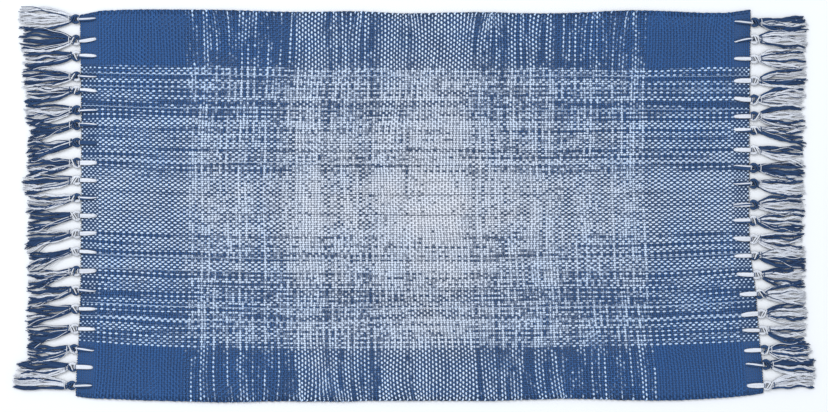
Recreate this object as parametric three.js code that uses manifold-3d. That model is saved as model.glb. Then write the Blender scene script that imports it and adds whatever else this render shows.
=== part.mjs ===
// A hand-woven cotton rug: one flat cloth with a finer, thinner heading at each end,
// and a row of yarn tassels looped through each heading.
// Millimetres. +X runs along the rug, +Y to its back edge, +Z up. The underside is at Z = 0.

import * as THREE from 'three';
import { mergeVertices } from 'three/addons/utils/BufferGeometryUtils.js';
import Module from 'manifold-3d';

const wasm = await Module();
wasm.setup();

const clothThickness = 4.8;
const headingThickness = 4;
const headingLength = 24.5;
const edgeRound = 0.9;
const edgeStep = 32;
const clearance = 0.4;

const backLine = 264;
const loopBack = 23.6;
const loopWall = 2.6;
const loopWidth = 5.6;
const underLeg = 1.6;
const overLeg = 2.6;
const loopFront = 1.6;

const knotStart = 2;
const knotEnd = 17;
const strandCount = 6;
const strandStart = 12;
const strandHeight = 2.6;
const strandShare = 0.68;
const neckHalf = 4;
const fanGap = 0.6;

// The edges as the cloth lies, columns: along X, along Y.
const backEdge = [
  [-455.5, 257], [-434, 261.5], [-410, 264.8], [-305, 265.2], [-250, 264.7], [-174, 262.2], [-70, 262.9],
  [-19, 259.6], [83, 261.8], [192, 259.6], [294, 264], [396, 260.6], [431, 260.6], [445, 262.8], [458.5, 264.8],
];
const frontEdge = [
  [-461, -260.5], [-427, -265.3], [-318, -268.7], [-264, -270.6], [-169, -268.7], [-108, -270], [-60, -268.2],
  [117, -268.1], [178, -265.3], [253, -266.7], [321, -268.1], [389, -265.3], [437, -261.3], [476, -254.5],
];
const leftEdge = [
  [-461, -260.5], [-460, -226], [-457.3, -192], [-455.3, -131], [-454, -3], [-454, 140], [-455.5, 257],
];
const rightEdge = [
  [476, -254.5], [473.4, -212], [469.3, -175], [466.6, -132], [461, -92], [457, -49], [457.6, 120], [458.5, 264.8],
];

// One row for each tassel from the back edge to the front, columns: where its loop goes through the
// heading and where the middle of its tips lies, both from the back line, and its reach past the cloth.
const leftTassels = [
  [12.5, 10, 85], [41.2, 43.5, 82], [62.7, 70.8, 78], [90.6, 92.5, 82], [109.4, 117, 77], [136.3, 143, 77],
  [156.2, 166, 73], [180.4, 193, 75], [208.2, 215, 74], [231.6, 239.5, 80], [255.8, 265, 75], [280.2, 288.5, 73],
  [304.4, 317, 75], [328.6, 344, 73], [355.5, 366, 72], [381.7, 389, 72], [406.8, 416.5, 73], [433.8, 446, 72],
  [461.5, 470, 70], [485.8, 489, 81], [511, 508, 86],
];
const rightTassels = [
  [16.6, 17, 78], [39.3, 37, 78], [66.3, 64, 77], [95.9, 91.2, 77], [122, 117, 75], [144.5, 144.2, 76],
  [163.3, 174.5, 77], [190.2, 199, 76], [214.6, 221.5, 75], [236.1, 241.5, 75], [264.8, 264, 76], [286.4, 288.5, 76],
  [311.6, 314.3, 75], [334.1, 339.5, 75], [360, 362, 72], [386.2, 385, 69], [413.1, 414, 69], [435.6, 441, 66],
  [462.5, 466.5, 69], [482.2, 486, 72], [510.9, 505, 71],
];

// How far the tips of the outermost tassels lie from their middle: the first towards the back, the last
// towards the front.
const leftTips = [15, 6];
const rightTips = [6, 7];

// The knot, columns: share of its length, half width, height.
const knotSections = [
  [0, 3.7, 6.9], [0.4, 5.2, 7], [1, 4.4, 4.4],
];
// A strand, columns: share of its length, share of the fan's opening, share of its height.
const strandSections = [
  [0, 0, 1], [0.44, 0.66, 1.15], [1, 1, 0.8],
];

function solid(geometry) {
  geometry.deleteAttribute('normal');
  geometry.deleteAttribute('uv');
  const merged = mergeVertices(geometry, 1e-4);
  return new wasm.Manifold(new wasm.Mesh({
    numProp: 3,
    vertProperties: new Float32Array(merged.attributes.position.array),
    triVerts: new Uint32Array(merged.index.array),
  }));
}

function geometryOf(body) {
  const mesh = body.getMesh();
  const geometry = new THREE.BufferGeometry();
  geometry.setAttribute('position', new THREE.BufferAttribute(new Float32Array(mesh.vertProperties), 3));
  geometry.setIndex(new THREE.BufferAttribute(new Uint32Array(mesh.triVerts), 1));
  geometry.computeVertexNormals();
  return geometry;
}

// A closed body through rings with the same number of corners.
function loft(rings) {
  const corners = rings[0].length;
  const points = rings.flat();
  const faces = [];
  for (let ring = 0; ring + 1 < rings.length; ring += 1) {
    for (let corner = 0; corner < corners; corner += 1) {
      const a = ring * corners + corner;
      const b = ring * corners + (corner + 1) % corners;
      faces.push(a, b, b + corners, a, b + corners, a + corners);
    }
  }
  const last = (rings.length - 1) * corners;
  for (let corner = 1; corner + 1 < corners; corner += 1) {
    faces.push(0, corner + 1, corner);
    faces.push(last, last + corner, last + corner + 1);
  }
  const geometry = new THREE.BufferGeometry().setFromPoints(points);
  geometry.setIndex(faces);
  return geometry;
}

function edgePoints(edge) {
  const curve = new THREE.SplineCurve(edge.map(([along, across]) => new THREE.Vector2(along, across)));
  return curve.getSpacedPoints(Math.round(curve.getLength() / edgeStep));
}

const back = edgePoints(backEdge);
const front = edgePoints(frontEdge);
const left = edgePoints(leftEdge);
const right = edgePoints(rightEdge);

// Where an end of the cloth lies at a given place across it.
function endAt(points, across) {
  const next = points.findIndex((point) => point.y > across);
  const after = next < 1 ? 1 : next;
  const from = points[after - 1];
  const to = points[after];
  return from.x + (to.x - from.x) * (across - from.y) / (to.y - from.y);
}

function clothOutline() {
  const around = [
    ...front.slice(0, -1), ...right.slice(0, -1),
    ...back.slice().reverse().slice(0, -1), ...left.slice().reverse().slice(0, -1),
  ];
  return new THREE.Shape(around);
}

function clothSlab() {
  return new THREE.ExtrudeGeometry(clothOutline(), {
    depth: clothThickness - 2 * edgeRound,
    bevelEnabled: true,
    bevelThickness: edgeRound,
    bevelSize: edgeRound,
    bevelOffset: -edgeRound,
    bevelSegments: 1,
  }).translate(0, 0, edgeRound);
}

// What is taken off the top of the cloth along one end, so that its heading is thinner.
function headingCut(points, outward) {
  const beyond = 20;
  const inner = points.map((point) => new THREE.Vector2(point.x - outward * headingLength, point.y));
  const outer = points.map((point) => new THREE.Vector2(point.x + outward * beyond, point.y));
  const first = points[0];
  const final = points[points.length - 1];
  const inside = [
    new THREE.Vector2(first.x - outward * headingLength, first.y - beyond),
    ...inner,
    new THREE.Vector2(final.x - outward * headingLength, final.y + beyond),
  ];
  const outside = [
    new THREE.Vector2(first.x + outward * beyond, first.y - beyond),
    ...outer,
    new THREE.Vector2(final.x + outward * beyond, final.y + beyond),
  ];
  const shape = new THREE.Shape([...inside, ...outside.reverse()]);
  return new THREE.ExtrudeGeometry(shape, { depth: 10, bevelEnabled: false }).translate(0, 0, headingThickness);
}

// An upright outline, in distance past the cloth and height, given a width across.
function uprightBody(outline, holes, width, place) {
  const shape = new THREE.Shape(outline.map(([past, height]) => new THREE.Vector2(past, height)));
  for (const hole of holes) {
    shape.holes.push(new THREE.Path(hole.map(([past, height]) => new THREE.Vector2(past, height))));
  }
  const geometry = new THREE.ExtrudeGeometry(shape, { depth: width, bevelEnabled: false });
  geometry.translate(0, 0, -width / 2);
  geometry.rotateX(Math.PI / 2);
  if (place.outward < 0) {
    geometry.rotateZ(Math.PI);
  }
  return geometry.translate(place.end, place.across, 0);
}

// The slot in the cloth that a tassel's loop goes down through and lies in underneath.
function loopSlot(place) {
  const outline = [
    [-loopBack - clearance, -2], [6, -2], [6, underLeg + clearance],
    [-loopBack + loopWall + clearance, underLeg + clearance], [-loopBack + loopWall + clearance, 9],
    [-loopBack - clearance, 9],
  ];
  return uprightBody(outline, [], loopWidth + 2 * clearance, place);
}

function loopBody(place) {
  const top = headingThickness + clearance + overLeg;
  const outline = [
    [-loopBack + 0.8, 0], [knotStart + 2, 0], [knotStart + 2, 4.4], [0, top],
    [-loopBack + 1.6, top], [-loopBack, top - 1.6], [-loopBack, 0.8],
  ];
  const hole = [
    [-loopBack + loopWall, underLeg], [loopFront, underLeg], [loopFront, headingThickness],
    [loopFront - 0.8, headingThickness + clearance], [-loopBack + loopWall, headingThickness + clearance],
  ];
  return uprightBody(outline, [hole], loopWidth, place);
}

function knotBody(place) {
  const rings = knotSections.map(([share, half, height]) => {
    const past = place.end + place.outward * (knotStart + (knotEnd - knotStart) * share);
    const lift = height * 0.42;
    const ring = [
      new THREE.Vector3(past, place.across - half * 0.88, 0),
      new THREE.Vector3(past, place.across + half * 0.88, 0),
      new THREE.Vector3(past, place.across + half, lift),
      new THREE.Vector3(past, place.across + half * 0.78, height),
      new THREE.Vector3(past, place.across - half * 0.78, height),
      new THREE.Vector3(past, place.across - half, lift),
    ];
    return place.outward < 0 ? ring.reverse() : ring;
  });
  return loft(rings);
}

// One strand: a flat-bottomed lock that lies on the floor and widens as the fan opens.
function strandBody(place, number) {
  const slot = (number + 0.5) / strandCount;
  const ragged = Math.sin(place.index * 2.3 + number * 1.9 + place.outward);
  const reach = place.reach - 2.5 - 2.5 * ragged;
  const rings = strandSections.map(([share, opening, lift]) => {
    const lower = (place.tipFrom - (place.across - neckHalf)) * opening + place.across - neckHalf;
    const upper = (place.tipTo - (place.across + neckHalf)) * opening + place.across + neckHalf;
    const swing = place.swing * Math.sin(Math.PI * share) * (1 - opening * 0.6);
    const middle = lower + (upper - lower) * slot + swing;
    const half = (upper - lower) / strandCount * strandShare / 2;
    const past = place.end + place.outward * (strandStart + (reach - strandStart) * share);
    const ring = [
      new THREE.Vector3(past, middle - half, 0),
      new THREE.Vector3(past, middle + half, 0),
      new THREE.Vector3(past, middle, strandHeight * lift),
    ];
    return place.outward < 0 ? ring.reverse() : ring;
  });
  return loft(rings);
}

function tasselPlaces(rows, points, outward, [backTip, frontTip]) {
  const tips = rows.map(([, tip]) => backLine - tip);
  return rows.map(([through, , reach], index) => {
    const across = backLine - through;
    const toBack = index > 0 ? (tips[index - 1] - tips[index]) / 2 : backTip;
    const toFront = index + 1 < tips.length ? (tips[index] - tips[index + 1]) / 2 : frontTip;
    return {
      index,
      outward,
      across,
      reach,
      end: endAt(points, across),
      tipFrom: tips[index] - toFront + fanGap,
      tipTo: tips[index] + toBack - fanGap,
      swing: 1.1 * Math.sin(index * 1.7 + outward),
    };
  });
}

function tasselBody(place) {
  let body = solid(loopBody(place)).add(solid(knotBody(place)));
  for (let number = 0; number < strandCount; number += 1) {
    body = body.add(solid(strandBody(place, number)));
  }
  return body;
}

function clothBody(places) {
  let body = solid(clothSlab());
  body = body.subtract(solid(headingCut(left, -1)));
  body = body.subtract(solid(headingCut(right, 1)));
  for (const place of places) {
    body = body.subtract(solid(loopSlot(place)));
  }
  return body;
}

const rug = new THREE.Group();

function addPiece(name, body, color) {
  const material = new THREE.MeshStandardMaterial({ color, roughness: 0.95, metalness: 0 });
  const mesh = new THREE.Mesh(geometryOf(body), material);
  mesh.name = name;
  rug.add(mesh);
}

const leftPlaces = tasselPlaces(leftTassels, left, -1, leftTips);
const rightPlaces = tasselPlaces(rightTassels, right, 1, rightTips);

addPiece('cloth', clothBody([...leftPlaces, ...rightPlaces]), 0x7a90b4);
for (const place of leftPlaces) {
  const number = String(place.index + 1).padStart(2, '0');
  addPiece(`tassel_left_${number}`, tasselBody(place), 0x9da7bd);
}
for (const place of rightPlaces) {
  const number = String(place.index + 1).padStart(2, '0');
  addPiece(`tassel_right_${number}`, tasselBody(place), 0x9da7bd);
}

// The origin goes to the middle of the underside of everything.
const box = new THREE.Box3().setFromObject(rug);
const middle = box.getCenter(new THREE.Vector3());
rug.position.set(-middle.x, -middle.y, 0);

export default rug;
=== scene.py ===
import math
import bpy
import numpy as np
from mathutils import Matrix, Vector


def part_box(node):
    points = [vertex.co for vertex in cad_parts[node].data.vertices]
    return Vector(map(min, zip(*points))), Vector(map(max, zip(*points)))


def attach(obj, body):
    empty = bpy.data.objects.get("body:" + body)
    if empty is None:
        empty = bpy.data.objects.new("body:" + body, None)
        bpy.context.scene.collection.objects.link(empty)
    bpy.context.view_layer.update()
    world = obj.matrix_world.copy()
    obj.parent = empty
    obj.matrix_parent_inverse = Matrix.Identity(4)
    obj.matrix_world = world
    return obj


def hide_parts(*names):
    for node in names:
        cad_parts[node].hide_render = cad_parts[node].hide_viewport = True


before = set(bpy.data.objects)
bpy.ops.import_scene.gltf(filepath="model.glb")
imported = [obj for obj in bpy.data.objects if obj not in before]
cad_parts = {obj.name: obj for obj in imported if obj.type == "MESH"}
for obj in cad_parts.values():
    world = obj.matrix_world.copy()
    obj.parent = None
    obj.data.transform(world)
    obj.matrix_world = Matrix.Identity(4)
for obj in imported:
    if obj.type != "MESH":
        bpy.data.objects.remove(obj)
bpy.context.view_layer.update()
dice = np.random.default_rng(11)
mm = 0.001
print("frame loaded")

yarnLook = {
    "tintedWhite": (0.49, 0.7, 1, 1),
    "offWhite": (0.645, 0.685, 0.77, 1),
    "blue": (0.035, 0.105, 0.285, 1),
    "slate": (0.044, 0.07, 0.12, 1),
    "loopWhite": (0.63, 0.665, 0.735, 1),
    "loopGrey": (0.42, 0.445, 0.505, 1),
    "loopBlue": (0.028, 0.066, 0.158, 1),
    "loopDeep": (0.011, 0.027, 0.075, 1),
    "roughness": (0.86, 0.12),
    "sheen": 0.05,
    "specular": 0.12,
    # Scale and detail.
    "fibre": (1400, 3),
    "patch": (26, 2),
    "patchFade": 0.5,
    # How much of the shade is even, from the fibre's tone and from the twist, which is painted shade in the
    # ply grooves.
    "shadeParts": (0.8, 0.24, 0.1),
    "twistRelief": 0.6,
    "fibreRelief": 0.5,
    "bump": (0.4, 0.3),
    # The strip of one yarn in the map: its margin, and the width of one of its four walls.
    "stripMargin": 0.06,
    "stripWall": 0.22,
    "capSize": 0.0004,
    "capEnd": 0.9994,
    # Painted shade in the hollows of the cloth: how dark in blue and in natural parts, how much white still
    # shows there, and the height over the cloth's middle where it ends.
    "hollowShade": (0.16, 0.36),
    "hollowShadeWhite": 0.5,
    "crownHeight": (0, 1.15),
    # Painted shade on the flanks of a cloth yarn, with its top a little lighter.
    "sideSpan": (0.07, 0.22),
    "sideShade": (1.04, 0.5),
    "flankSpan": (0.06, 0.24),
    "flankShade": (1.05, 0.42),
    # The plain blue corners, where the picks show as long ribs, with lighter painted hollow shade, a darker
    # blue, and painted shade lines over the gaps between picks.
    "plainTone": (0.02, 0.12),
    "plainHollowShade": 0.8,
    "plainDeep": 0.16,
    "ribSpan": (0.04, 0.3),
    "ribShade": 0.34,
}


# Shader sums are written with operators on the sockets.
class Wire:
    def __init__(self, tree, socket=None):
        self.tree = tree
        self.socket = socket

    def node(self, kind, settings=None, sockets=None, output=0):
        made = self.tree.nodes.new(kind)
        for key, value in (settings or {}).items():
            setattr(made, key, value)
        for key, value in (sockets or {}).items():
            if isinstance(value, Wire):
                self.tree.links.new(value.socket, made.inputs[key])
            else:
                made.inputs[key].default_value = value
        return Wire(self.tree, made.outputs[output])

    def math(self, operation, *others):
        return self.node("ShaderNodeMath", {"operation": operation}, dict(enumerate((self, *others))))

    def __add__(self, other):
        return self.math("ADD", other)

    def __mul__(self, other):
        return self.math("MULTIPLY", other)

    def __sub__(self, other):
        return self.math("SUBTRACT", other)

    def __rsub__(self, other):
        return self * -1 + other

    __radd__ = __add__
    __rmul__ = __mul__

    def mix(self, low, high):
        return self.node("ShaderNodeMix", {"data_type": "RGBA"}, {0: self, 6: low, 7: high}, 2)

    def eased(self, span, first=0, last=1):
        return self.node("ShaderNodeMapRange", {"interpolation_type": "SMOOTHSTEP"}, {
            "Value": self, "From Min": span[0], "From Max": span[1], "To Min": first, "To Max": last})

    def noise(self, scale, detail):
        return self.node("ShaderNodeTexNoise", None, {"Vector": self, "Scale": scale, "Detail": detail})

    def bump(self, strength, distance):
        return self.node("ShaderNodeBump", None, {
            "Strength": strength, "Distance": distance * mm, "Height": self})

    def into(self, shader, name):
        self.tree.links.new(self.socket, shader.inputs[name])


# Cotton yarn: two dyes by attribute, fading from yarn to yarn, ply twist and fibre, with painted shade in the
# ply grooves.
# In the cloth the hollows and flanks of the yarns get painted shade, darker than their tops, on both faces,
# and in a tassel the flanks do. Where the cloth is plain blue the painted hollow shade fades, and a warp gets
# a painted shade line over gaps in the weft.
def yarnMaterial(name, white, blue, yarns, turns, plainSideShade=None, ribs=0):
    material = bpy.data.materials.new(name)
    material.use_nodes = True
    shader = material.node_tree.nodes["Principled BSDF"]
    shader.inputs["Sheen Weight"].default_value = yarnLook["sheen"]
    shader.inputs["Specular IOR Level"].default_value = yarnLook["specular"]
    start = Wire(material.node_tree)
    strip = start.node("ShaderNodeUVMap", {"uv_map": "OFBake"})
    along = start.node("ShaderNodeSeparateXYZ", None, {0: strip}, 0)
    around = start.node("ShaderNodeSeparateXYZ", None, {0: strip}, 1)
    spot = start.node("ShaderNodeTexCoord", output=3)
    dyeAndShade = start.node("ShaderNodeAttribute", {"attribute_name": "dyeAndShade"}, output=2)
    tone = start.node("ShaderNodeAttribute", {"attribute_name": "tone"}, output=2)
    # Ply twist, for the bump and for painted shade in the grooves between the plies.
    twist = ((along * turns + around * yarns) * (2 * math.pi)).math("SINE") * 0.5 + 0.5
    fibre = spot.noise(*yarnLook["fibre"])
    patch = spot.noise(*yarnLook["patch"])
    fade = (tone + (patch - 0.5) * yarnLook["patchFade"]).math("MAXIMUM", 0).math("MINIMUM", 1)
    pale = 1 - dyeAndShade
    even, fromFibre, fromTwist = yarnLook["shadeParts"]
    # A dye value past 1 is painted shade: the selvedge warps darker than the blue, where the cloth's edge
    # turns from the light.
    shade = (even + fibre * fromFibre + twist * fromTwist) * (pale.math("MINIMUM", 0) + 1)
    place = (around * yarns).math("FRACT")
    if plainSideShade:
        # Painted shade: the nearer a point lies to the cloth's middle height, the darker it is.
        height = start.node("ShaderNodeSeparateXYZ", None, {0: spot}, 2)
        off = (height - cloth["bodyMiddle"] * mm).math("ABSOLUTE")
        crown = off.eased([edge * mm for edge in yarnLook["crownHeight"]])
        low, high = yarnLook["hollowShade"]
        deepShade = low + fade * fade * (high - low)
        plain = tone.eased(yarnLook["plainTone"], 1, 0)
        deepShade = deepShade + plain * (yarnLook["plainHollowShade"] - deepShade)
        shade = shade * (deepShade + crown * (1 - deepShade)) * (1 - plain * yarnLook["plainDeep"])
        # Painted shade on the yarn's flanks, set apart for the plain corners, with the top a little lighter.
        top, side = yarnLook["sideShade"]
        flank = ((place - 0.5).math("ABSOLUTE") - yarnLook["stripWall"]).math("ABSOLUTE")
        shade = shade * flank.eased(yarnLook["sideSpan"], top, side + plain * (plainSideShade - side))
        # Painted shade line along each gap between picks, where a warp dives.
        if ribs:
            gap = ((along * ribs).math("FRACT") - 0.5).math("ABSOLUTE")
            shade = shade * (1 - plain * gap.eased(yarnLook["ribSpan"], yarnLook["ribShade"], 0))
        # Painted shade also hides some of the white in the hollows.
        kept = yarnLook["hollowShadeWhite"] + fade * (1 - yarnLook["hollowShadeWhite"])
        pale = pale * (kept + crown * (1 - kept))
    else:
        # Painted shade on a tassel yarn's flanks, with its top a little lighter.
        flank = (place - (yarnLook["stripMargin"] + yarnLook["stripWall"])).math("ABSOLUTE")
        shade = shade * flank.eased(yarnLook["flankSpan"], *yarnLook["flankShade"])
    colour = pale.mix(fade.mix(*blue), fade.mix(*white))
    shaded = start.node("ShaderNodeMix", {"data_type": "RGBA", "blend_type": "MULTIPLY"},
                        {0: 1, 6: colour, 7: shade}, 2)
    shaded.into(shader, "Base Color")
    smooth, rough = yarnLook["roughness"]
    (smooth + fibre * rough).into(shader, "Roughness")
    relief = twist * yarnLook["twistRelief"] + fibre * yarnLook["fibreRelief"]
    relief.bump(*yarnLook["bump"]).into(shader, "Normal")
    return material


# Many yarns as one mesh. Each section is a soft four-cornered ring, closed at both ends.
def yarnMesh(name, centre, side, up, dyeAndShade, tone, material):
    yarns, sections = centre.shape[:2]
    points = np.stack([centre + side, centre + up, centre - side, centre - up], axis=2)
    ring = np.arange(yarns * sections * 4).reshape(yarns, sections, 4)
    turned = np.roll(ring, -1, axis=2)
    walls = np.stack([ring[:, :-1], turned[:, :-1], turned[:, 1:], ring[:, 1:]], axis=-1).reshape(-1, 4)
    caps = np.concatenate([ring[:, 0, ::-1], ring[:, -1]])
    mesh = bpy.data.meshes.new(name)
    mesh.from_pydata(points.reshape(-1, 3).tolist(), [], np.concatenate([walls, caps]).tolist())
    mesh.polygons.foreach_set("use_smooth", np.ones(len(mesh.polygons), dtype=bool))
    step = np.arange(sections - 1) / (sections - 1)
    low = np.broadcast_to(step[None, :, None], (yarns, sections - 1, 4))
    high = low + 1 / (sections - 1)
    margin, wall = yarnLook["stripMargin"], yarnLook["stripWall"]
    band = (np.arange(yarns)[:, None, None] + margin + wall * np.arange(4)[None, None, :]) / yarns
    band = np.broadcast_to(band, low.shape)
    above = band + wall / yarns
    wallMap = np.stack([np.stack([low, band], -1), np.stack([low, above], -1),
                        np.stack([high, above], -1), np.stack([high, band], -1)], axis=-2)
    row = (np.arange(yarns) + 0.5) / yarns
    tick = yarnLook["capSize"] * np.array([[0, 0], [1, 0], [1, 1], [0, 1]])
    capRows = np.stack([np.stack([np.full(yarns, place), row], -1) for place in (0, yarnLook["capEnd"])])
    capMap = capRows[:, :, None, :] + tick
    layer = mesh.uv_layers.new(name="OFBake")
    layer.data.foreach_set("uv", np.concatenate([wallMap.reshape(-1, 2), capMap.reshape(-1, 2)]).ravel())
    for label, values in (("dyeAndShade", dyeAndShade), ("tone", tone)):
        values = np.asarray(values, dtype=np.float32).reshape(yarns, -1)
        spread = np.repeat(np.broadcast_to(values, (yarns, sections)).ravel(), 4)
        mesh.attributes.new(label, "FLOAT", "POINT").data.foreach_set("value", spread)
    mesh.update()
    piece = bpy.data.objects.new(name, mesh)
    bpy.context.scene.collection.objects.link(piece)
    mesh.materials.append(material)
    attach(piece, "root")
    return piece


cloth = {
    "rim": 3.9,
    "rimNear": 0.03,
    "edgeDegree": 3,
    "headingLength": 23,
    "headingPitch": 2.95,
    "endGap": 1.2,
    "floorGap": 0.05,
    "warpEnds": 175,
    "edgeWarps": 2,
    "selvedge": 1.7,
    # Painted shade along the selvedge: how far below no white the outer warps go.
    "selvedgeShade": 0.42,
    "selvedgeRise": 0.45,
    "selvedgeStill": 0.8,
    "selvedgeFull": (1.15, 1.2),
    "bodyMiddle": 2.42,
    "headingMiddle": 2.05,
    "headingFade": (1, 4),
    "warpRise": 1.5,
    "headingRise": 1.1,
    "weftRise": 0.42,
    "headingWeftRise": 0.2,
    "warpHalf": (1.22, 0.85),
    "weftHalf": (1.68, 1.05),
    "headingHalf": (1.35, 0.8),
    "turnBack": 1.8,
    # Pairs, for the warp and for the weft.
    "endInset": (0.2, 0.25),
    "endTaper": (0.6, 0.75),
    "topFuller": (0.1, 0.14),
    "riseChance": (0.06, 0.15),
    "placeChance": (0.18, 0.24),
    "widthChance": ((0.12, 3), (0.14, 3)),
    "plyTurns": (260, 150),
    # Painted shade on the flanks in the plain corners.
    "plainSideShade": (1.02, 0.72),
    "plainFuller": (0.16, 0.1),
    "whiteHeld": (1, 0.95),
    "plainShare": 0.12,
    "plainFlatter": 0.42,
    "warpGain": 1.08,
    "warpRuns": (0, 0.75),
    "warpParts": (0.58, 0.45, 0.5),
    "weftRuns": (0.15, 0.9),
    "weftParts": (0.45, 0.5, 0.7),
    "runReach": 5,
    "owedMost": 1.2,
    "heldLimits": (0.02, 0.95),
    "oddsScale": 1.7,
    "crossingLeast": 0.5,
    "whiteSlope": 1,
    "whiteTop": (0.84, 1),
    "tintReach": 6,
    "warpSway": (0.42, 2, 6),
    "weftSway": (0.85, 2, 7),
    # Along and across: how far, then two waves, each how fast it goes along and across and where it starts.
    "wander": ((1.1, (23, 9, 0), (0, 13, 1)), (0.8, (17, 0, 2), (6, 11, 0))),
    "wanderReach": 40,
    # Rows: share along or across, how far the picks there are carried to the right.
    "leanAlong": ((0.1, 0.24, 0.5, 0.66), (0, 3.6, 3.6, 0)),
    "leanAcross": ((0.6, 0.66, 0.84, 0.9), (0, 0.12, 0.88, 1)),
    "bendReach": 16,
    "skewReach": 130,
    # Rows: share across from the front edge, how far the warp there is carried to the back at that end.
    "leftSkew": ((0, 0.12, 0.5, 0.85, 1), (0, 3.2, 4.2, 1.6, 0)),
    "rightSkew": ((0, 0.1, 0.28, 0.5, 0.75, 1), (0, 4, 5.4, 1.5, -2.2, 0)),
    # Columns: distance from the left end, spacing of the weft there.
    "weftPitch": ((0, 4.08), (130, 4.08), (170, 4.33), (740, 4.33), (790, 4.19), (930, 4.19)),
    # Columns: distance from the left end where the stripe stops, share of its weft that is off-white.
    "weftStripes": (
        (145, 0), (163, 0.31), (180, 0.46), (207, 0.25), (216, 0.37), (229, 0.51), (249, 0.2), (282, 0.3),
        (293, 0.5), (327, 0.92), (346, 0.42), (389, 0.76), (401, 0.42), (435, 0.92), (456, 0.82), (528, 1),
        (543, 0.6), (554, 0.83), (587, 0.62), (597, 0.72), (608, 0.35), (649, 0.68), (668, 0.25), (714, 0.36),
        (738, 0.28), (773, 0.42), (950, 0)),
    # Columns: distance from the back edge where the stripe stops, share of its warp that is off-white.
    "warpStripes": (
        (77, 0), (83, 0.75), (91, 0.4), (127, 0.5), (147, 0.38), (167, 0.64), (176, 0.75), (200, 0.74),
        (208, 0.58), (225, 0.7), (241, 0.9), (300, 1), (314, 0.65), (331, 0.74), (339, 0.5), (355, 0.82),
        (372, 0.56), (380, 0.8), (404, 0.42), (412, 0.56), (421, 0.36), (457, 0.58), (560, 0)),
}


# The four edges of the CAD cloth's rim, front, right, back and left, each from its lower end in X or Y.
def clothEdges():
    points = np.array([vertex.co[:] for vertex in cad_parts["cloth"].data.vertices])
    rim = points[np.abs(points[:, 2] - cloth["rim"] * mm) < cloth["rimNear"] * mm][:, :2]
    middle = (rim.min(0) + rim.max(0)) / 2
    square = (rim - middle) / (rim.max(0) - middle)
    rim = rim[np.argsort(np.arctan2(square[:, 1], square[:, 0]))]
    square = (rim - middle) / (rim.max(0) - middle)
    corner = [int(np.argmax(square @ np.array(way))) for way in ((-1, -1), (1, -1), (1, 1), (-1, 1))]
    front, right, back, left = (
        rim[(first + np.arange((last - first) % len(rim) + 1)) % len(rim)]
        for first, last in zip(corner, corner[1:] + corner[:1]))
    return front, right, back[::-1], left[::-1]


frontEdge, rightEdge, backEdge, leftEdge = clothEdges()
clothLength = (rightEdge[:, 0].mean() - leftEdge[:, 0].mean()) / mm
clothWidth = (backEdge[:, 1].mean() - frontEdge[:, 1].mean()) / mm


# A place on the cloth from its share along and its share across, both from 0 to 1.
# Inside, the yarns follow the even run of the edges; small bends of an edge die away from it.
def clothPoint(along, across):
    def edge(points, axis, place):
        true = np.interp(place, points[:, axis], points[:, 1 - axis])
        even = np.polyval(np.polyfit(points[:, axis], points[:, 1 - axis], cloth["edgeDegree"]), place)
        return even, true - even

    x = leftEdge[:, 0].mean() + along * clothLength * mm
    y = frontEdge[:, 1].mean() + across * clothWidth * mm
    front, frontBend = edge(frontEdge, 0, x)
    back, backBend = edge(backEdge, 0, x)
    left, leftBend = edge(leftEdge, 1, y)
    right, rightBend = edge(rightEdge, 1, y)
    fromLeft, fromFront = along * clothLength, across * clothWidth
    fromRight, fromBack = clothLength - fromLeft, clothWidth - fromFront
    bend = cloth["bendReach"]
    px = ((1 - along) * left + along * right
          + leftBend * np.exp(-fromLeft / bend) + rightBend * np.exp(-fromRight / bend))
    py = ((1 - across) * front + across * back
          + frontBend * np.exp(-fromFront / bend) + backBend * np.exp(-fromBack / bend))
    skewLeft = np.interp(across, *cloth["leftSkew"]) * np.clip(1 - fromLeft / cloth["skewReach"], 0, 1)
    skewRight = np.interp(across, *cloth["rightSkew"]) * np.clip(1 - fromRight / cloth["skewReach"], 0, 1)
    inside = np.minimum(np.minimum(fromLeft, fromRight), np.minimum(fromFront, fromBack))
    inside = inside.clip(0, cloth["wanderReach"]) / cloth["wanderReach"]

    def wander(far, *waves):
        first, second = (np.sin(along * onward + across * sideways + start)
                         for onward, sideways, start in waves)
        return inside * far * mm * first * second

    px = px + wander(*cloth["wander"][0])
    px = px + np.interp(along, *cloth["leanAlong"]) * np.interp(across, *cloth["leanAcross"]) * mm
    py = py + wander(*cloth["wander"][1])
    py = py + (skewLeft + skewRight) * mm
    return np.stack([px, py], axis=-1)


# Which yarns are off-white: runs of a few yarns that keep each stripe's share.
def whiteYarns(shares, limits):
    owed = 0.0
    white = False
    chosen = []
    for share in shares:
        after = owed + share - white
        if abs(after) > dice.uniform(*limits):
            white = after > 0
        white = bool(white and share > 0)
        owed = min(max(owed + share - white, -cloth["owedMost"]), cloth["owedMost"]) if share > 0 else 0.0
        chosen.append(white)
    return np.array(chosen)


# A bell-shaped window for evening out a run of values.
def bell(reach):
    return np.exp(-0.5 * (np.arange(-3 * reach, 3 * reach + 1) / reach) ** 2)


# Smooth chance along each yarn, evened out over a few crossings.
def drift(rows, count, spread, reach):
    window = bell(reach)
    window /= np.sqrt((window ** 2).sum())
    noise = dice.normal(0, 1, (rows, count + 6 * reach))
    return np.stack([np.convolve(row, window, "valid") for row in noise]) * np.reshape(spread, (-1, 1))


# A run of shares, evened out over its neighbours.
def evened(share, reach):
    window = bell(reach)
    return np.convolve(np.pad(share, 3 * reach, mode="edge"), window / window.sum(), "valid")


# Smooth chance over the whole cloth, evened out both ways.
def swayed(rows, count, spread, reachAcross, reachAlong):
    noise = np.apply_along_axis(evened, 0, dice.normal(0, 1, (rows, count)), reachAcross)
    noise = np.apply_along_axis(evened, 1, noise, reachAlong)
    return noise * spread / noise.std()


# The share of off-white at each yarn's place, softened where two stripes meet.
def stripeShares(places, stripes):
    stops = np.array([row[0] for row in stripes])
    share = np.array([row[1] for row in stripes])[np.searchsorted(stops, places)]
    return evened(share, 1) * (share > 0)


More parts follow.
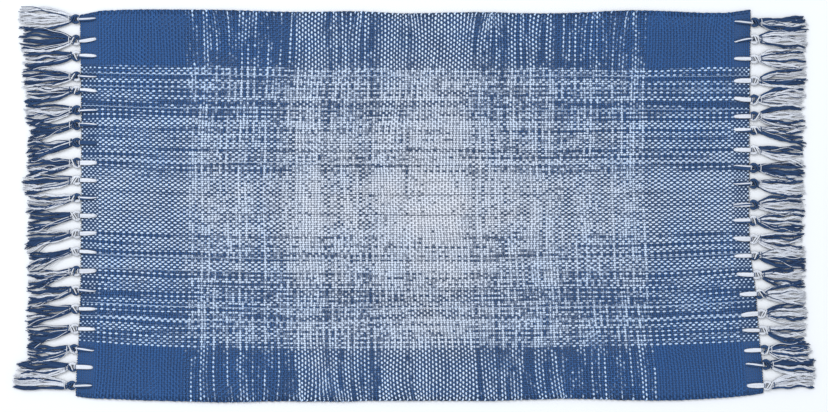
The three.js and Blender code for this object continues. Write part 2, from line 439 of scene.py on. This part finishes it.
# How off-white each yarn shows at each crossing. The yarns are plied from both dyes, so either dye may come
# up on top, in runs of a few crossings. Parts: how much of the chance belongs to the yarn, to the run and to
# the crossing, which counts for more where the other set of yarns is pale.
def whiteLevels(share, other, limits, parts, keep):
    chosen = whiteYarns(share, limits)
    held = np.clip(keep * share, *cloth["heldLimits"])
    scale = cloth["oddsScale"]
    odds = np.log(held / (1 - held)) / scale
    yarn = np.where(chosen, np.sqrt((1 - held) / held), -np.sqrt(held / (1 - held))).clip(-scale, scale)
    level = (odds + parts[0] * yarn)[:, None] + drift(len(share), len(other), parts[1], cloth["runReach"])
    crossing = parts[2] * (cloth["crossingLeast"] + evened(other, cloth["tintReach"]))
    level = level + crossing * dice.normal(0, 1, level.shape)
    low, high = cloth["whiteTop"]
    level = np.clip(0.5 + cloth["whiteSlope"] * level, 0, 1) * (low + (high - low) * share)[:, None]
    return level * (share > 0)[:, None]


# Where each pick lies along the cloth, closer together in the two headings.
def weftPlaces():
    places = []
    done = cloth["endGap"]
    stops, pitches = zip(*cloth["weftPitch"])
    while done < clothLength - cloth["endGap"]:
        atEnd = min(done, clothLength - done) < cloth["headingLength"]
        pitch = cloth["headingPitch"] if atEnd else float(np.interp(done, stops, pitches))
        places.append(done + pitch / 2)
        done += pitch
    return np.array(places) * (clothLength - cloth["endGap"]) / done


wefts = weftPlaces()
picks = len(wefts)
ends = cloth["warpEnds"]
warps = cloth["selvedge"] + (clothWidth - 2 * cloth["selvedge"]) * np.arange(ends) / (ends - 1)
warpShare = np.minimum(stripeShares(clothWidth - warps, cloth["warpStripes"]) * cloth["warpGain"], 1)
weftShare = stripeShares(wefts, cloth["weftStripes"])
warpWhite = whiteLevels(warpShare, weftShare, cloth["warpRuns"], cloth["warpParts"], cloth["whiteHeld"][0])
weftWhite = whiteLevels(weftShare, warpShare, cloth["weftRuns"], cloth["weftParts"], cloth["whiteHeld"][1])
warpSway = swayed(ends, picks, *cloth["warpSway"])
weftSway = swayed(picks, ends, *cloth["weftSway"])
warpPale = evened(warpShare, cloth["tintReach"])
weftPale = evened(weftShare, cloth["tintReach"])
natural = (warpPale[:, None] + weftPale[None, :]) / 2
natural = natural * ((warpShare > 0)[:, None] | (weftShare > 0)[None, :])
plainness = np.clip(1 - natural / cloth["plainShare"], 0, 1)
depth = np.minimum(wefts, clothLength - wefts)
early, fadeLength = cloth["headingFade"]
bodyShare = np.clip((depth - cloth["headingLength"] + early) / fadeLength, 0, 1)
middle = cloth["headingMiddle"] + (cloth["bodyMiddle"] - cloth["headingMiddle"]) * bodyShare
rise = cloth["headingRise"] + (cloth["warpRise"] - cloth["headingRise"]) * bodyShare
over = np.where((np.arange(ends)[:, None] + np.arange(picks)[None, :]) % 2 == 0, 1.0, -1.0)
print("weave set out:", ends, "warp ends and", picks, "picks")


# Values along the yarns, with one more at each end.
def padded(values, first, last):
    values = np.asarray(values, dtype=float)
    end = values[..., :1]
    return np.concatenate([np.full_like(end, first), values, np.full_like(end, last)], axis=-1)


def repeated(values):
    return np.concatenate([values[..., :1], values, values[..., -1:]], axis=-1)


def clothYarn(name, centre, wide, tall, sideAxis, level, tone, turns, plainSideShade, ribs=0):
    side = np.zeros_like(centre)
    up = np.zeros_like(centre)
    side[..., sideAxis] = wide * mm * (1 if sideAxis == 1 else -1)
    up[..., 2] = tall * mm
    material = yarnMaterial(name + "_cotton", (yarnLook["tintedWhite"], yarnLook["offWhite"]),
                            (yarnLook["blue"], yarnLook["slate"]), len(centre), turns, plainSideShade, ribs)
    piece = yarnMesh(name, centre, side, up, 1 - level, tone, material)
    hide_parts("cloth")
    return piece


# The places of warps, each from end to end of the cloth.
def warpGrid(across):
    inset = cloth["endInset"][0]
    along = padded(wefts, inset, clothLength - inset) / clothLength
    shape = (len(across), len(along))
    across = np.broadcast_to(across[:, None] / clothWidth, shape)
    return clothPoint(np.broadcast_to(along, shape), across), shape


# Warp: each yarn rises and falls over and under the picks, fuller where it is on top.
def warpYarns(rows, name):
    grid, shape = warpGrid(warps[rows])
    sign = padded(over[rows], 0, 0)
    plain = repeated(plainness[rows])
    edge = ((rows < cloth["edgeWarps"]) | (rows >= ends - cloth["edgeWarps"]))[:, None]
    edgeWide, edgeTall = cloth["selvedgeFull"]
    lift = sign * repeated(rise) * dice.normal(1, cloth["riseChance"][0], shape)
    lift = lift * np.where(edge, cloth["selvedgeRise"], 1) * (1 - cloth["plainFlatter"] * plain)
    centre = np.concatenate([grid, (repeated(middle) + lift)[..., None] * mm], axis=-1)
    still = 1 - cloth["selvedgeStill"] * edge
    centre[..., 1] += (repeated(warpSway[rows]) * still + dice.normal(0, cloth["placeChance"][0], shape)) * mm
    wide = cloth["warpHalf"][0] * (1 + cloth["topFuller"][0] * sign)
    wide = wide * (1 + drift(*shape, *cloth["widthChance"][0]))
    wide = wide * np.where(edge, edgeWide, 1) * (1 + cloth["plainFuller"][0] * plain)
    tall = cloth["warpHalf"][1] * np.where(edge, edgeTall, 1) * np.ones(shape)
    wide[:, [0, -1]] *= cloth["endTaper"][0]
    tall[:, [0, -1]] *= cloth["endTaper"][0]
    centre[..., 2] = np.maximum(centre[..., 2], (tall + cloth["floorGap"]) * mm)
    # The outer warps get painted shade, darker than the blue.
    level = repeated(warpWhite[rows]) - np.where(edge, cloth["selvedgeShade"], 0)
    return clothYarn(name, centre, wide, tall, 1, level, repeated(natural[rows]), cloth["plyTurns"][0],
                     cloth["plainSideShade"][0], picks + 1)


# Weft: thicker and straighter, drawn back or on at each selvedge, where it turns.
def weftYarns(rows, name):
    inset = cloth["endInset"][1]
    across = padded(warps, inset, clothWidth - inset) / clothWidth
    shape = (len(rows), len(across))
    along = np.broadcast_to(wefts[rows][:, None] / clothLength, shape)
    grid = clothPoint(along, np.broadcast_to(across, shape))
    sign = padded(-over.T[rows], 0, 0)
    body = bodyShare[rows][:, None]
    least = cloth["headingWeftRise"]
    lift = sign * (least + (cloth["weftRise"] - least) * body) * dice.normal(1, cloth["riseChance"][1], shape)
    centre = np.concatenate([grid, (middle[rows][:, None] + lift)[..., None] * mm], axis=-1)
    centre[..., 0] += (repeated(weftSway[rows]) * body + dice.normal(0, cloth["placeChance"][1], shape)) * mm
    drawn = np.where(rows % 2 == 0, 1.0, -1.0) * bodyShare[rows] * cloth["turnBack"] * mm
    centre[:, 0, 0] += drawn
    centre[:, -1, 0] -= drawn
    fine, coarse = cloth["headingHalf"], cloth["weftHalf"]
    wide = (fine[0] + (coarse[0] - fine[0]) * body) * (1 + cloth["topFuller"][1] * sign)
    wide = wide * (1 + drift(*shape, *cloth["widthChance"][1]))
    wide = wide * (1 + cloth["plainFuller"][1] * repeated(plainness.T[rows]))
    tall = (fine[1] + (coarse[1] - fine[1]) * body) * np.ones(shape)
    wide[:, [0, -1]] *= cloth["endTaper"][1]
    centre[..., 2] = np.maximum(centre[..., 2], (tall + cloth["floorGap"]) * mm)
    return clothYarn(name, centre, wide, tall, 0, repeated(weftWhite[rows]), repeated(natural.T[rows]),
                     cloth["plyTurns"][1], cloth["plainSideShade"][1])


groundLook = {
    "cells": (62, 36),
    "inset": (0.003, 0.004),
    "height": (2.0, 2.6),
    # Darkened copies of the blue and off-white yarn colours, mixed by tone: painted shade for the gaps
    # between the yarns.
    "deepShade": ((0.012, 0.035, 0.10, 1), (0.04, 0.09, 0.21, 1)),
    "pale": ((0.18, 0.2, 0.25, 1), (0.4, 0.43, 0.5, 1)),
    "fibre": (900, 3),
    "roughness": (0.85, 0.12),
    "bump": (0.5, 0.3),
}


def groundMaterial():
    material = bpy.data.materials.new("ground_cotton_and_shade")
    material.use_nodes = True
    shader = material.node_tree.nodes["Principled BSDF"]
    start = Wire(material.node_tree)
    spot = start.node("ShaderNodeTexCoord", output=3)
    fibre = spot.noise(*groundLook["fibre"])
    tint = start.node("ShaderNodeAttribute", {"attribute_name": "tone"}, output=2)
    tint.mix(fibre.mix(*groundLook["deepShade"]), fibre.mix(*groundLook["pale"])).into(shader, "Base Color")
    smooth, rough = groundLook["roughness"]
    (smooth + fibre * rough).into(shader, "Roughness")
    fibre.bump(*groundLook["bump"]).into(shader, "Normal")
    return material


# A dark sheet between the yarns, so that no floor shows through the weave: partly the cotton there, partly
# painted shade in the gaps.
def groundCloth():
    along, across = np.meshgrid(*[np.linspace(inset, 1 - inset, cells + 1) for inset, cells in zip(
        groundLook["inset"], groundLook["cells"])], indexing="ij")
    flat = clothPoint(along, across)
    columns, rows = along.shape
    points = np.concatenate([
        np.concatenate([flat, np.full((columns, rows, 1), height * mm)], axis=-1).reshape(-1, 3)
        for height in groundLook["height"]])
    number = np.arange(columns * rows).reshape(columns, rows)
    quads = np.stack([number[:-1, :-1], number[1:, :-1], number[1:, 1:], number[:-1, 1:]], axis=-1)
    quads = quads.reshape(-1, 4)
    rim = np.concatenate([number[:-1, 0], number[-1, :-1], number[:0:-1, -1], number[0, :0:-1]])
    after = np.roll(rim, -1)
    top = columns * rows
    walls = np.stack([rim, after, after + top, rim + top], axis=-1)
    mesh = bpy.data.meshes.new("ground_cloth")
    mesh.from_pydata(points.tolist(), [], np.concatenate([quads[:, ::-1], quads + top, walls]).tolist())
    mesh.polygons.foreach_set("use_smooth", np.ones(len(mesh.polygons), dtype=bool))
    tone = np.interp(across * clothWidth, warps, warpPale) * np.interp(along * clothLength, wefts, weftPale)
    tone = np.tile(tone.ravel(), 2).astype(np.float32)
    mesh.attributes.new("tone", "FLOAT", "POINT").data.foreach_set("value", tone)
    piece = bpy.data.objects.new("ground_cloth", mesh)
    bpy.context.scene.collection.objects.link(piece)
    mesh.materials.append(groundMaterial())
    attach(piece, "root")
    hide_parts("cloth")
    return piece


slip = {
    "pale": 9,
    "blue": 11,
    "fromEdge": 3,
    "radius": 0.42,
    "riseShare": 0.86,
    "lift": (0.25, -0.1),
    "heightChance": (0.3, 8),
    "wave": 0.45,
    "white": (0.5, 0.95),
    "whiteChance": (0.12, 6),
    "plyTurns": 400,
    # Painted shade on the flanks in the plain corners: none.
    "plainSideShade": 1,
}


# Single plies that have slipped out between two yarns and lie on top as thin wavy lines.
def slipPlies():
    striped = np.flatnonzero(warpWhite.max(1) > 0)[slip["fromEdge"]:-slip["fromEdge"]]
    rows = dice.choice(striped, slip["pale"] + slip["blue"], replace=False)
    dark = (np.arange(len(rows)) >= slip["pale"])[:, None]
    grid, shape = warpGrid((warps[rows] + warps[rows + 1]) / 2)
    paleLift, darkLift = slip["lift"]
    height = repeated(middle) + slip["riseShare"] * repeated(rise) + np.where(dark, darkLift, paleLift)
    height = height + drift(*shape, *slip["heightChance"])
    height[:, [0, -1]] = middle[0]
    centre = np.concatenate([grid, height[..., None] * mm], axis=-1)
    centre[..., 1] -= padded(over[rows], 0, 0) * slip["wave"] * mm
    size = slip["radius"] * np.ones(shape)
    white = dice.uniform(*slip["white"], (len(rows), 1)) + drift(*shape, *slip["whiteChance"])
    level = np.where(dark, 0, np.clip(white, 0, 1))
    return clothYarn("slip_plies", centre, size, size, 1, level, repeated(natural[rows]), slip["plyTurns"],
                     slip["plainSideShade"])


ground = groundCloth()
yarns = [
    warpYarns(np.arange(0, ends, 2), "warp_first_shed"),
    warpYarns(np.arange(1, ends, 2), "warp_second_shed"),
    weftYarns(np.arange(0, picks // 2), "weft_left_half"),
    weftYarns(np.arange(picks // 2, picks), "weft_right_half"),
    slipPlies(),
]
print("cloth woven")

tassel = {
    "sections": 17,
    "plyTurns": 24,
    "floorGap": 0.1,
    "toneChance": 0.22,
    # The loop on the cloth, and the yarns that go back under it. Runs: distance past the cloth's end, height.
    "loopBack": 23.6,
    "loopTone": 0.1,
    "stubYarns": 2,
    "stubRadius": 1.05,
    "stubHalf": (1.6, 2.6),
    "stubBow": 1.3,
    "stubTwist": 0.07,
    "stubTwistFrom": -8,
    "stubLength": 21.6,
    "stubHeight": (-0.4, 0.8),
    "stubRun": (
        (-21.6, 2), (-21.2, 3.8), (-19.4, 4.9), (-15, 5.2), (-10, 5.3), (-5, 5.2), (-0.5, 4.9), (3, 4.2)),
    "stubNarrow": ((-21.6, -20, -15, -8, 3), (0.35, 0.7, 0.95, 1, 0.95)),
    "underRun": ((-21.4, 2.2), (-20.6, 0.9), (-14, 0.8), (-6, 0.8), (1, 0.8), (8, 1.5)),
    "underPlaces": (-0.9, 0.9),
    "underRadius": 0.7,
    # The knot.
    "knotSize": (1.2, 1.5),
    "knotStart": 0.6,
    "knotLength": 15.6,
    "legYarns": 3,
    "legRadius": 1.15,
    "legApart": 0.95,
    "legDrop": 0.7,
    "legCross": 2.3,
    "legBow": (2.9, 0.1),
    "legHeight": (4, 1.2),
    "legLift": (1.1, 0.5),
    "wrapRadius": 0.95,
    "wrapSlant": (1.5, 4),
    "wrapStart": 6.4,
    "wrapApart": 3.4,
    "wrapHalf": 3.7,
    "wrapHeight": (3.6, 2.4),
    "tieRadius": 0.6,
    "tieLean": 0.5,
    "tieMiddle": 0.35,
    # Columns: distance past the cloth's end, half width, height.
    "ties": ((0.9, 3.1, 6.6), (14.2, 4.9, 6.4)),
    # The fan.
    "lockStart": 11.6,
    "lockTone": 0.4,
    "lockYarns": 3,
    "lockRadius": 1.1,
    "lockTwist": 0.92,
    "lockLoose": (0.6, 0.6),
    "lockFlat": 0.7,
    "lockThick": (0.8, 1.2),
    "lockTurns": (1, 2.6),
    "lockLength": (0.95, 1.03),
    "lockChance": 0.03,
    "lockWave": (0.5, 1.9),
    "lockFall": (3.2, 1.2),
    "lockLayers": (1.5, 0.75, 3),
    "lockHump": 0.5,
    "yarnSize": (0.85, 1.1),
    "yarnLength": (0.95, 1),
    "yarnTaper": ((0, 0.1, 0.85, 1), (0.85, 1, 0.9, 0.45)),
    "waveRate": (6, 13),
    "waveStart": (0, 6),
    "waveGrows": 1.8,
    "swing": (1.4, 0.6),
    # How far a lock goes to the side, and how fast it opens.
    "opening": ((11.5, 15), (4, 1)),
    "neckHalf": 4.3,
    "rootLength": 1,
    "tipLength": 9,
    "spread": 2.6,
    "strays": 4,
    "strayTone": 0.3,
    "strayRadius": 0.5,
    "strayFrom": (0.15, 0.85),
    "strayOff": (0.2, 0.5),
    "strayLength": (0.75, 1),
    "strayWave": (0.8, 2.6),
    "strayHeight": (5.2, 1.9),
    # One entry for each tassel from the back edge to the front. Words: the yarns of the loop on the cloth,
    # the two legs of the knot and the locks of the fan, each from back to front, w off-white and b blue.
    "left": (
        "bwb bb wwwwwwwb", "bww bw bbbbbbbw", "wwb wb bbwbwbbb", "bwb bw wbbbwbbw", "wwb wb wwbbwbbb",
        "bwb bb bwwwbbwb", "wbb bb bbbbbbwb", "bbb bb wbbbbbbb", "www bw bbbbwbbw", "www ww bbbwwwbb",
        "bwb bw wbwwbwwb", "www ww bbbbbbbb", "www ww wbbbbbbw", "www ww bbbbwbbw", "www bw bwbbwbwb",
        "bwb wb bbbwbbbb", "www wb bbbbwbbb", "www ww bbbbbbbb", "bwb bw bbbwbbww", "www wb bbbbwbww",
        "bwb bb wbwwwwbb"),
    "right": (
        "bwb bb bbbwwbbb", "bwb ww bwwwwwwb", "www ww wwbwwbww", "www ww wbwwbbbw", "www bw bbwwwwww",
        "www bw bbwwwbww", "wwb wb wwbbbbbb", "www ww bbbwwwww", "wbb bb bbbbbbwb", "bwb bb wbwwwwwb",
        "wbw bb bwbwwwbw", "wwb wb wbwbwbbb", "www ww wbbwwbww", "www wb wwwbbbbb", "www ww bbwwwbwb",
        "www wb wbwwwwww", "www ww bbwwwbww", "www ww wwbwwbbb", "www bw bbbbwbww", "bwb bb bbbbwbww",
        "www ww wwwwwwwb"),
}


tubeShare = np.linspace(0, 1, tassel["sections"])
tubeHump = np.sin(np.pi * tubeShare)
tubeCircle = 2 * np.pi * tubeShare


def otherDye(letter):
    return "b" if letter == "w" else "w"


# Distances and heights along a tube from a short table of them, with straight runs between.
def throughPlaces(places):
    rows = np.linspace(0, 1, len(places))
    return [np.interp(tubeShare, rows, column) for column in zip(*places)]


# One yarn of a tassel: its path, in mm from where the tassel leaves the cloth, its radius, dye and tone.
def addTube(tubes, along, across, height, radius, letter, tone, ring=False):
    size = radius * np.ones(len(tubeShare))
    height = np.maximum(height, size + tassel["floorGap"])
    path = np.stack(np.broadcast_arrays(along, across, height), axis=-1)
    tubes.append((path, size, float(letter == "b"), abs(dice.normal(tone, tassel["toneChance"])), ring))


# The loop on the cloth: a flat bundle, a little twisted and bowed, narrow where it comes up.
def addLoop(tubes, stub, mostly):
    along, height = throughPlaces(tassel["stubRun"])
    half = dice.uniform(*tassel["stubHalf"])
    bow = dice.normal(0, tassel["stubBow"])
    twist = dice.uniform(-tassel["stubTwist"], tassel["stubTwist"])
    narrow = np.interp(along, *tassel["stubNarrow"])
    base, dome = tassel["stubHeight"]
    count = len(stub) * tassel["stubYarns"]
    for number in range(count):
        angle = np.pi * (number + 0.5) / count + twist * (along - tassel["stubTwistFrom"])
        across = half * narrow * np.cos(angle) + bow * (along / tassel["stubLength"]) ** 2
        addTube(tubes, along, across, height + base + dome * np.sin(angle), tassel["stubRadius"],
                stub[number // tassel["stubYarns"]], tassel["loopTone"])
    along, height = throughPlaces(tassel["underRun"])
    for place in tassel["underPlaces"]:
        addTube(tubes, along, place, height, tassel["underRadius"], mostly, tassel["loopTone"])


# The knot: two legs bow apart and cross, a slanting turn of each goes round both, and each end has a tie.
def addKnot(tubes, legs, firstTie):
    tone = tassel["loopTone"]
    size = dice.uniform(*tassel["knotSize"])
    slant = dice.choice((-1, 1)) * dice.uniform(*tassel["wrapSlant"])
    bow, lessBow = tassel["legBow"]
    bowed = bow * tubeHump * (1 - lessBow * tubeShare)
    bulge = size * (tassel["legCross"] * np.cos(np.pi * tubeShare) + bowed)
    along = tassel["knotStart"] + tassel["knotLength"] * tubeShare
    top, fall = tassel["legHeight"]
    lift, upper = tassel["legLift"]
    wrapMiddle, wrapRise = tassel["wrapHeight"]
    for number, letter in enumerate(legs):
        side = 1 - 2 * number
        height = top - fall * tubeShare + (lift + upper * side) * tubeHump
        for yarn in range(tassel["legYarns"]):
            out = yarn - (tassel["legYarns"] - 1) / 2
            across = side * (bulge + tassel["legApart"] * out)
            addTube(tubes, along, across, height - tassel["legDrop"] * abs(out), tassel["legRadius"],
                    letter, tone)
        place = tassel["wrapStart"] + tassel["wrapApart"] * number
        addTube(tubes, place + slant * np.cos(tubeCircle), tassel["wrapHalf"] * size * np.cos(tubeCircle),
                wrapMiddle + wrapRise * np.sin(tubeCircle), tassel["wrapRadius"], letter, tone, True)
    for (past, half, height), letter in zip(tassel["ties"], (firstTie, otherDye(legs[0]))):
        radius = tassel["tieRadius"]
        centre = tassel["tieMiddle"] * height + radius
        addTube(tubes, past + tassel["tieLean"] * np.sin(tubeCircle), half * np.cos(tubeCircle),
                centre + (height - centre) * np.sin(tubeCircle), radius, letter, tone, True)


# The fan: wavy locks of a few yarns turned round each other, opening out on the floor, and some stray yarns.
def addFan(tubes, fan, tipFrom, tipTo, reach):
    swing = dice.normal(0, tassel["swing"][0]) * tassel["swing"][1] * tubeHump

    def sweep(fromSlot, toSlot, wave):
        root = tassel["neckHalf"] * (1 - 2 * fromSlot)
        tip = min(max(tipTo + (tipFrom - tipTo) * toSlot, tipFrom), tipTo)
        phase = dice.uniform(*tassel["waveRate"]) * tubeShare + dice.uniform(*tassel["waveStart"])
        wobble = wave * np.sin(phase) * np.minimum(tubeShare * tassel["waveGrows"], 1)
        opening = 1 - (1 - tubeShare) ** np.interp(abs(tip - root), *tassel["opening"])
        return root + (tip - root) * opening + wobble + swing

    def outTo(length):
        return tassel["lockStart"] + (length - tassel["lockStart"]) * tubeShare

    fall, steep = tassel["lockFall"]
    lowest, layer, layers = tassel["lockLayers"]
    tight, loosens = tassel["lockLoose"]
    for number, letter in enumerate(fan):
        slot = (number + 0.5) / len(fan)
        across = sweep(slot, slot + dice.normal(0, tassel["lockChance"]), dice.uniform(*tassel["lockWave"]))
        thick = dice.uniform(*tassel["lockThick"])
        turns = dice.uniform(*tassel["lockTurns"]) * dice.choice((-1, 1))
        length = reach * dice.uniform(*tassel["lockLength"])
        height = fall * (1 - tubeShare) ** steep + (lowest + layer * (number % layers)) * tubeShare
        height = height + tassel["lockHump"] * tubeHump
        loose = tassel["lockTwist"] * thick * (tight + loosens * tubeShare)
        for yarn in range(tassel["lockYarns"]):
            angle = 2 * np.pi * (yarn / tassel["lockYarns"] + turns * tubeShare)
            radius = tassel["lockRadius"] * thick * dice.uniform(*tassel["yarnSize"])
            along = outTo(length * dice.uniform(*tassel["yarnLength"]))
            addTube(tubes, along, across + loose * np.cos(angle),
                    height + tassel["lockFlat"] * loose * np.sin(angle),
                    radius * np.interp(tubeShare, *tassel["yarnTaper"]), letter, tassel["lockTone"])
    high, sinks = tassel["strayHeight"]
    for number in range(tassel["strays"]):
        slot = dice.uniform(*tassel["strayFrom"])
        far = slot + dice.choice((-1, 1)) * dice.uniform(*tassel["strayOff"])
        along = outTo(reach * dice.uniform(*tassel["strayLength"]))
        across = sweep(slot, far, dice.uniform(*tassel["strayWave"]))
        addTube(tubes, along, across, high - sinks * tubeShare, tassel["strayRadius"],
                dice.choice(("w", "b")), tassel["strayTone"])


# One tassel, set by its CAD solid: where it starts, how far it reaches and how wide its tips spread.
def tieTassel(node, words, outward):
    solid = np.array([vertex.co[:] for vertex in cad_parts[node].data.vertices]) / mm
    solid = solid * (outward, 1, 1)
    first, last = solid[:, 0].min(), solid[:, 0].max()
    across = solid[solid[:, 0] < first + tassel["rootLength"], 1].mean()
    tips = solid[solid[:, 0] > last - tassel["tipLength"], 1] - across
    stub, legs, fan = words.split()
    mostly = max("wb", key=stub.count)
    tubes = []
    addLoop(tubes, stub, mostly)
    addKnot(tubes, legs, otherDye(mostly))
    addFan(tubes, fan, tips.min() - tassel["spread"], tips.max() + tassel["spread"],
           last - first - tassel["loopBack"])
    paths, radii, dyes, tones, rings = (np.array(column) for column in zip(*tubes))
    centre = (paths + (first + tassel["loopBack"], across, 0)) * (outward, 1, 1) * mm
    heading = np.gradient(centre, axis=1)
    heading /= np.linalg.norm(heading, axis=2, keepdims=True)
    hint = np.where(rings[:, None, None], (1.0, 0, 0), (0, float(outward), 0))
    side = hint - (heading * hint).sum(2, keepdims=True) * heading
    side /= np.linalg.norm(side, axis=2, keepdims=True)
    up = np.cross(heading, side)
    size = radii[..., None] * mm
    piece = yarnMesh(f"yarn_{node}", centre, side * size, up * size, dyes, tones, loopCotton)
    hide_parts(node)
    return piece


# The yarns of one tassel: its loop, those under it, its legs with a wrap each, its ties, locks and strays.
stubWord, legWord, fanWord = map(len, tassel["left"][0].split())
loopCount = (stubWord * tassel["stubYarns"] + len(tassel["underPlaces"]) + legWord * (tassel["legYarns"] + 1)
             + len(tassel["ties"]) + fanWord * tassel["lockYarns"] + tassel["strays"])
loopCotton = yarnMaterial("tassel_cotton", (yarnLook["loopWhite"], yarnLook["loopGrey"]),
                          (yarnLook["loopBlue"], yarnLook["loopDeep"]), loopCount, tassel["plyTurns"])
for end, outward in (("left", -1), ("right", 1)):
    for number, words in enumerate(tassel[end], 1):
        tieTassel(f"tassel_{end}_{number:02d}", words, outward)

clothWidth * mm
clothLength * mm

studio = {
    "floorSize": 12,
    "floorDrop": 0.3,
    "floor": (0.69, 0.715, 0.755, 1),
    "floorRoughness": 0.9,
    "skyColour": (0.96, 0.98, 1, 1),
    "sky": 1.08,
    "key": 95,
    "keySize": 2.2,
    "keyPlace": (-1.7, 1.9, 3.4),
    "keyTurn": (-29, -24, 0),
    "lens": 85,
    "sensor": 36,
    "frameWidth": 1126.7,
    "offset": (-7.6, 0),
    "focusHeight": 4,
}
bpy.ops.object.select_all(action="DESELECT")
bpy.ops.mesh.primitive_plane_add(size=studio["floorSize"], location=(0, 0, -studio["floorDrop"] * mm))
floor = bpy.context.object
floor.name = "floor"
paint = bpy.data.materials.new("floor_paint")
paint.use_nodes = True
paintShader = paint.node_tree.nodes["Principled BSDF"]
paintShader.inputs["Base Color"].default_value = studio["floor"]
paintShader.inputs["Roughness"].default_value = studio["floorRoughness"]
floor.data.materials.append(paint)

world = bpy.data.worlds.new("studio")
bpy.context.scene.world = world
world.use_nodes = True
backdrop = world.node_tree.nodes["Background"]
backdrop.inputs["Color"].default_value = studio["skyColour"]
backdrop.inputs["Strength"].default_value = studio["sky"]
bpy.ops.object.light_add(type="AREA", location=studio["keyPlace"])
key = bpy.context.object
key.data.energy = studio["key"]
key.data.size = studio["keySize"]
key.rotation_euler = [math.radians(angle) for angle in studio["keyTurn"]]

clothLow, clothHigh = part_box("cloth")
distance = studio["frameWidth"] * studio["lens"] / studio["sensor"] + studio["focusHeight"]
bpy.ops.object.camera_add(location=((clothLow[0] + clothHigh[0]) / 2 + studio["offset"][0] * mm,
                                    (clothLow[1] + clothHigh[1]) / 2 + studio["offset"][1] * mm,
                                    distance * mm))
camera = bpy.context.object
camera.data.lens = studio["lens"]
camera.data.sensor_width = studio["sensor"]
bpy.context.scene.camera = camera
bpy.context.scene.view_settings.view_transform = "Standard"
print("studio set")
